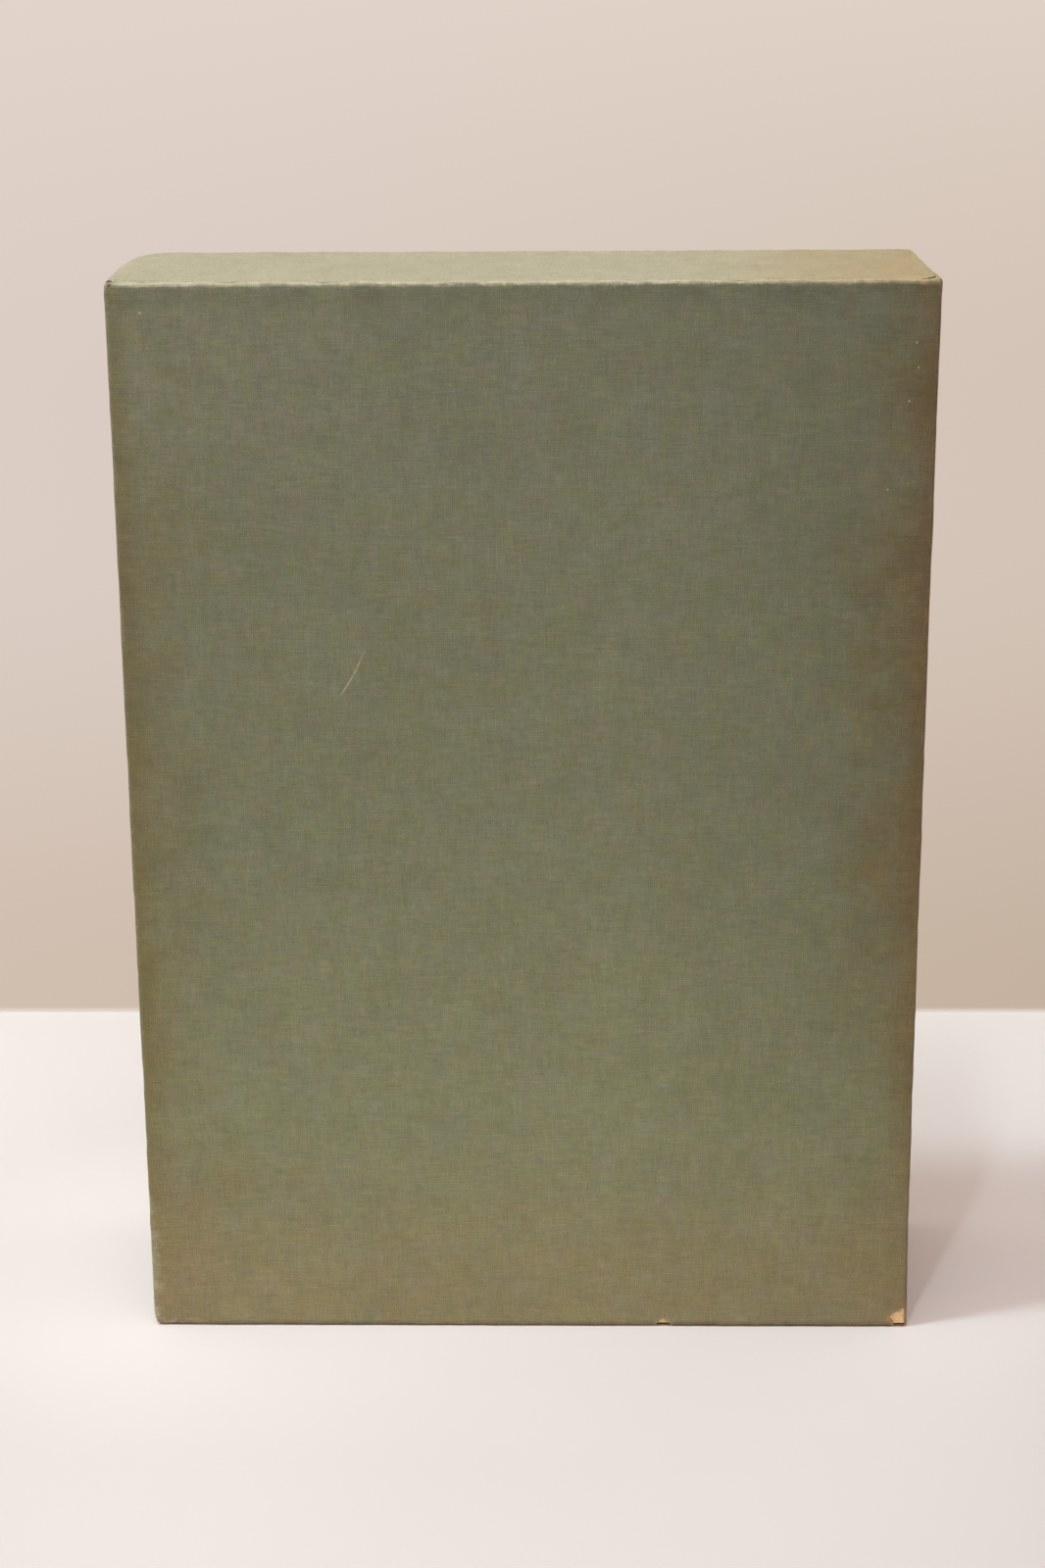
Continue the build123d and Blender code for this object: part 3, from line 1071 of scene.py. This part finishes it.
def lining_paper():
    """Off-white lining paper, slightly cockled and toned towards the mouth."""
    s = Shader("lining_paper", 0.88, 0.3)
    unevenness = s.times(s.noise(24, 3), 50)
    toning = s.band(s.math("ADD", s.x, unevenness), 0, -95)
    colour = s.mix(s.times(toning, 0.5), srgb(226, 220, 200), srgb(206, 190, 158))
    foxing = s.band(s.noise(5, 3, 0.7, offset=7), 0.66, 0.74)
    colour = s.cover(colour, srgb(176, 140, 96), foxing, 0.35)
    pulp = s.noise(1.2, 4, 0.7)
    colour = s.cover(colour, srgb(240, 236, 222), s.band(pulp, 0.3, 0.7, 0, 0.12))
    cockling = s.noise(30, 2, offset=2)
    return s.finish(colour, s.bump(pulp, 0.04, s.bump(cockling, 0.5)))


def fill_card():
    """Thin off-white card."""
    s = Shader("fill_card", 0.9, 0.3)
    pulp = s.noise(1.5, 4, 0.7)
    colour = s.mix(s.band(pulp, 0.3, 0.7), srgb(204, 196, 172), srgb(222, 214, 192))
    return s.finish(colour, s.bump(pulp, 0.05))


# The stage, in metres: how far it reaches, and where its wall stands
far = 4.0
wall_y = 0.202


def plane(name, corners, material):
    """A flat part of the stage, from its corners in metres."""
    mesh = bpy.data.meshes.new(name)
    mesh.from_pydata(corners, [], [(0, 1, 2, 3)])
    mesh.materials.append(material)
    add(name, mesh)


def seen_directly(s):
    """1 for what the camera sees, straight or in a reflection, and 0 for light on the case."""
    paths = s.node("ShaderNodeLightPath").node
    return s.most(*(paths.outputs[f"Is {kind} Ray"] for kind in ("Camera", "Glossy", "Transmission")))


def table_top():
    """A pale table with painted light and shade, which is darker, out of sight, to the light it throws back
    from further off.
    """
    s = Shader("table_top", 0.75, 0.2)
    off_x = s.math("ABSOLUTE", s.x)
    cloudy = s.times(s.noise(90, 3, 0.5), 60)
    # Painted light: the table is paler towards the wall, for the light the wall throws back, and paler to
    # the left, nearer the left lamp.
    towards_wall = s.node("ShaderNodeMapRange", s.math("ADD", s.y, cloudy), -230, 230, 0, 1)
    near = s.mix(s.band(s.x, -300, 300), srgb(219, 215, 214), srgb(200, 194, 193))
    colour = s.mix(towards_wall, near, srgb(232, 228, 227))
    beside = s.most(s.minus(off_x, half_width), 0)
    before = s.most(s.minus(s.math("ABSOLUTE", s.y), half_depth), 0)
    from_case = s.vector("LENGTH", s.node("ShaderNodeCombineXYZ", beside, before, 0), out=1)
    # Painted light: a paler glow round the case's foot, stronger on the left, standing in for light where
    # the case shades the table.
    colour = s.tint(colour, (1.14, 1.12, 1.12), s.band(from_case, 80, 0), s.band(s.x, 60, -60, 0.5, 1))
    # Painted shade: darker towards the front, off to each side of the case.
    colour = s.tint(colour, (0.94, 0.935, 0.93), s.band(off_x, 60, 170), s.band(s.y, 0, -110))
    far_off = s.band(s.vector("LENGTH", s.where, out=1), 350, 700)
    unseen = s.minus(1, seen_directly(s))
    return s.finish(s.cover(colour, srgb(90, 84, 80), far_off, unseen, 0.75))


def glowing_wall():
    """A pale wall that shows only from its front, and glows with its own colour where it is seen directly.
    That colour holds painted light and shade.
    """
    s = Shader("glowing_wall", 0.9, 0.1)
    # Painted light and shade: darker to the right and low down, paler high up, with a pale line along the
    # foot.
    rightwards = s.band(s.x, -260, 300)
    colour = s.mix(rightwards, srgb(219, 205, 196), srgb(210, 194, 180))
    low_down = s.mix(rightwards, srgb(205, 186, 168), srgb(190, 170, 151))
    colour = s.cover(colour, low_down, s.band(s.z, 180, 0, 0, 0.75))
    colour = s.cover(colour, srgb(230, 216, 206), s.band(s.z, 220, 420, 0, 0.8))
    colour = s.cover(colour, srgb(232, 222, 214), s.band(s.z, 2.4, 0, 0, 0.9))
    # The wall glows with this colour for what the camera sees, though it is no lamp.
    seen = s.node("ShaderNodeEmission", colour, 1)
    shown = s.node("ShaderNodeMixShader", seen_directly(s), s.surface.outputs[0], seen)
    behind = s.node("ShaderNodeNewGeometry").node.outputs["Backfacing"]
    shown = s.node("ShaderNodeMixShader", behind, shown, s.node("ShaderNodeBsdfTransparent"))
    s.tree.links.new(shown, s.tree.nodes["Material Output"].inputs["Surface"])
    return s.finish(colour)


def lamp(name, travel, elevation, level, size, colour, distance):
    """A lamp whose light travels this way over the floor and falls at this elevation."""
    slope = math.radians(elevation)
    flat = Vector((*travel, 0)).normalized() * math.cos(slope)
    ray = Vector((flat.x, flat.y, -math.sin(slope)))
    light = bpy.data.lights.new(name, "AREA")
    light.shape = "RECTANGLE"
    light.size, light.size_y = size
    light.color = colour
    light.energy = level * math.pi**2 * distance**2
    holder = add(name, light)
    holder.location = Vector((0, 0, middle * MM)) - ray * distance
    holder.rotation_mode = "QUATERNION"
    holder.rotation_quaternion = ray.to_track_quat("-Z", "Y")


def light_the_stage():
    """Two narrow lamps that throw shadows, wide ones in front and overhead, and a dim room."""
    world = bpy.data.worlds.new("room")
    bpy.context.scene.world = world
    world.use_nodes = True
    background = world.node_tree.nodes["Background"]
    background.inputs["Color"].default_value = (1.0, 0.82, 0.765, 1)
    background.inputs["Strength"].default_value = 0.4
    cool = (0.81, 1.0, 1.03)
    lamp("left_lamp", (0.93, 0.37), 70.0, 0.385, (0.2, 0.7), cool, 2.4)
    lamp("front_lamp", (0.235, 0.97), 68.0, 0.125, (0.03, 0.5), cool, 2.4)
    lamp("front_fill_lamp", (0.1, 1.0), 40.0, 0.13, (1.6, 1.0), (1.0, 0.93, 0.9), 1.8)
    lamp("ceiling_lamp", (0.1, 0.2), 84.0, 0.8, (1.4, 1.4), (1.0, 0.88, 0.83), 1.2)


def place_camera():
    """The photograph's camera: lens, place and turn were fitted to the case's corners."""
    camera = bpy.data.cameras.new("camera")
    camera.lens = 64.72
    holder = add("camera", camera)
    yaw, tilt, roll = (math.radians(a) for a in (1.23, 90 - 17.06, -0.42))
    turn = Matrix.Rotation(yaw, 4, "Z") @ Matrix.Rotation(tilt, 4, "X") @ Matrix.Rotation(roll, 4, "Z")
    holder.matrix_world = Matrix.Translation(Vector((14.5, -743.9, 376.4)) * MM) @ turn
    bpy.context.scene.camera = holder


cut_edge = broken_ends("cut_cloth_edge", 0.5, srgb(96, 80, 58), srgb(166, 150, 116), 0.15)
thread_material = broken_ends("broken_thread", 0.25, srgb(112, 104, 76), srgb(176, 162, 124), 0.03)
cloth_materials = [book_cloth(), cut_edge]

wrap, wrap_flat, wrap_area, torn_edge = side_cloth(cloth_materials)
tear_edge = torn_edge[torn_edge[:, 0] > nick_right]
nick_edge = torn_edge[torn_edge[:, 0] < nick_right]
corner_fibres = [
    ((-103.6, -33.6, 289.6), (-0.1, -0.2, 1.0), 1.5, 0.25),
    ((-104.0, -34.0, 289.3), (-0.7, -0.3, 0.5), 0.9, -0.3),
    ((-103.2, -33.9, 289.6), (0.8, 0.1, 0.3), 1.0, 0.2),
    ((-104.9, -33.6, 8.0), (-0.6, -0.5, 0.4), 0.8, 0.4),
]
wrap_threads = loose_threads(
    "side_cloth_threads",
    frays(tear_edge, 34, 0.9, (0.5, -0.15, -0.5), 51)
    + frays(nick_edge, 14, 0.8, (0.0, -0.2, -0.8), 52)
    + corner_fibres,
    thread_material,
)

for name, end in (("top_cloth", 1), ("bottom_cloth", -1)):
    strip, strip_flat, raw_edge = strip_cloth(name, end, cloth_materials)
    pieces = []
    if end > 0:
        starts = frays(raw_edge, 14, 0.6, (0.2, -1.0, 0.15), 53)
        pieces = [loose_threads(f"{name}_threads", starts, thread_material)]

layers = {
    "board": ("board", tan_board()),
    "stay": ("stay_paper", brown_paper()),
    "lining": ("lining_paper", lining_paper()),
    "infill": ("infill_card", fill_card()),
}
for node in sorted(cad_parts):
    kind = node.split("_")[-1]
    if kind in layers:
        settled_copy(node, *layers[kind])

plane("table", [(-far, -far, 0), (far, -far, 0), (far, far, 0), (-far, far, 0)], table_top())
wall = [(-far, wall_y, 0), (far, wall_y, 0), (far, wall_y, far), (-far, wall_y, far)]
plane("wall", wall, glowing_wall())
light_the_stage()
place_camera()
bpy.context.scene.view_settings.view_transform = "Standard"
